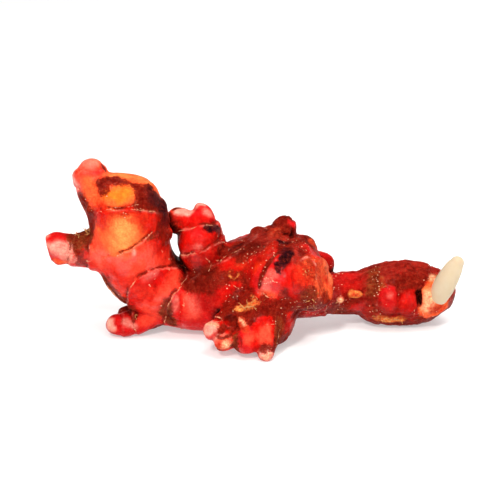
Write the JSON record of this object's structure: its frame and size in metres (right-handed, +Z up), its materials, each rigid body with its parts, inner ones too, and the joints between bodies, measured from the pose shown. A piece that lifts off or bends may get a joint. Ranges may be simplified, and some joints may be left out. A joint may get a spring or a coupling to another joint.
{
  "type": "ginger root",
  "caption": "Fresh red ginger rhizome with stubby fingers, node rings, round buds, snapped ends and a pale young shoot, lying on its own knobs.",
  "frame": {"origin": "under the middle of the bounding box, on the surface that the root rests on", "axes": "+X along the root towards the finger with the pale shoot, +Y towards the snapped stump at the back, +Z up"},
  "size_m": [0.1494, 0.0546, 0.0678],
  "materials": {
    "red_skin": "thin waxy red skin over moist pale flesh, glossy in places, dull and corky on the old parts",
    "young_shoot": "smooth ivory plant flesh, satin",
    "papery_scale": "dry papery scale leaf and fine root fibre, matt"
  },
  "bodies": {
    "root": {"rhizome": "red_skin"}
  },
  "joints": []
}
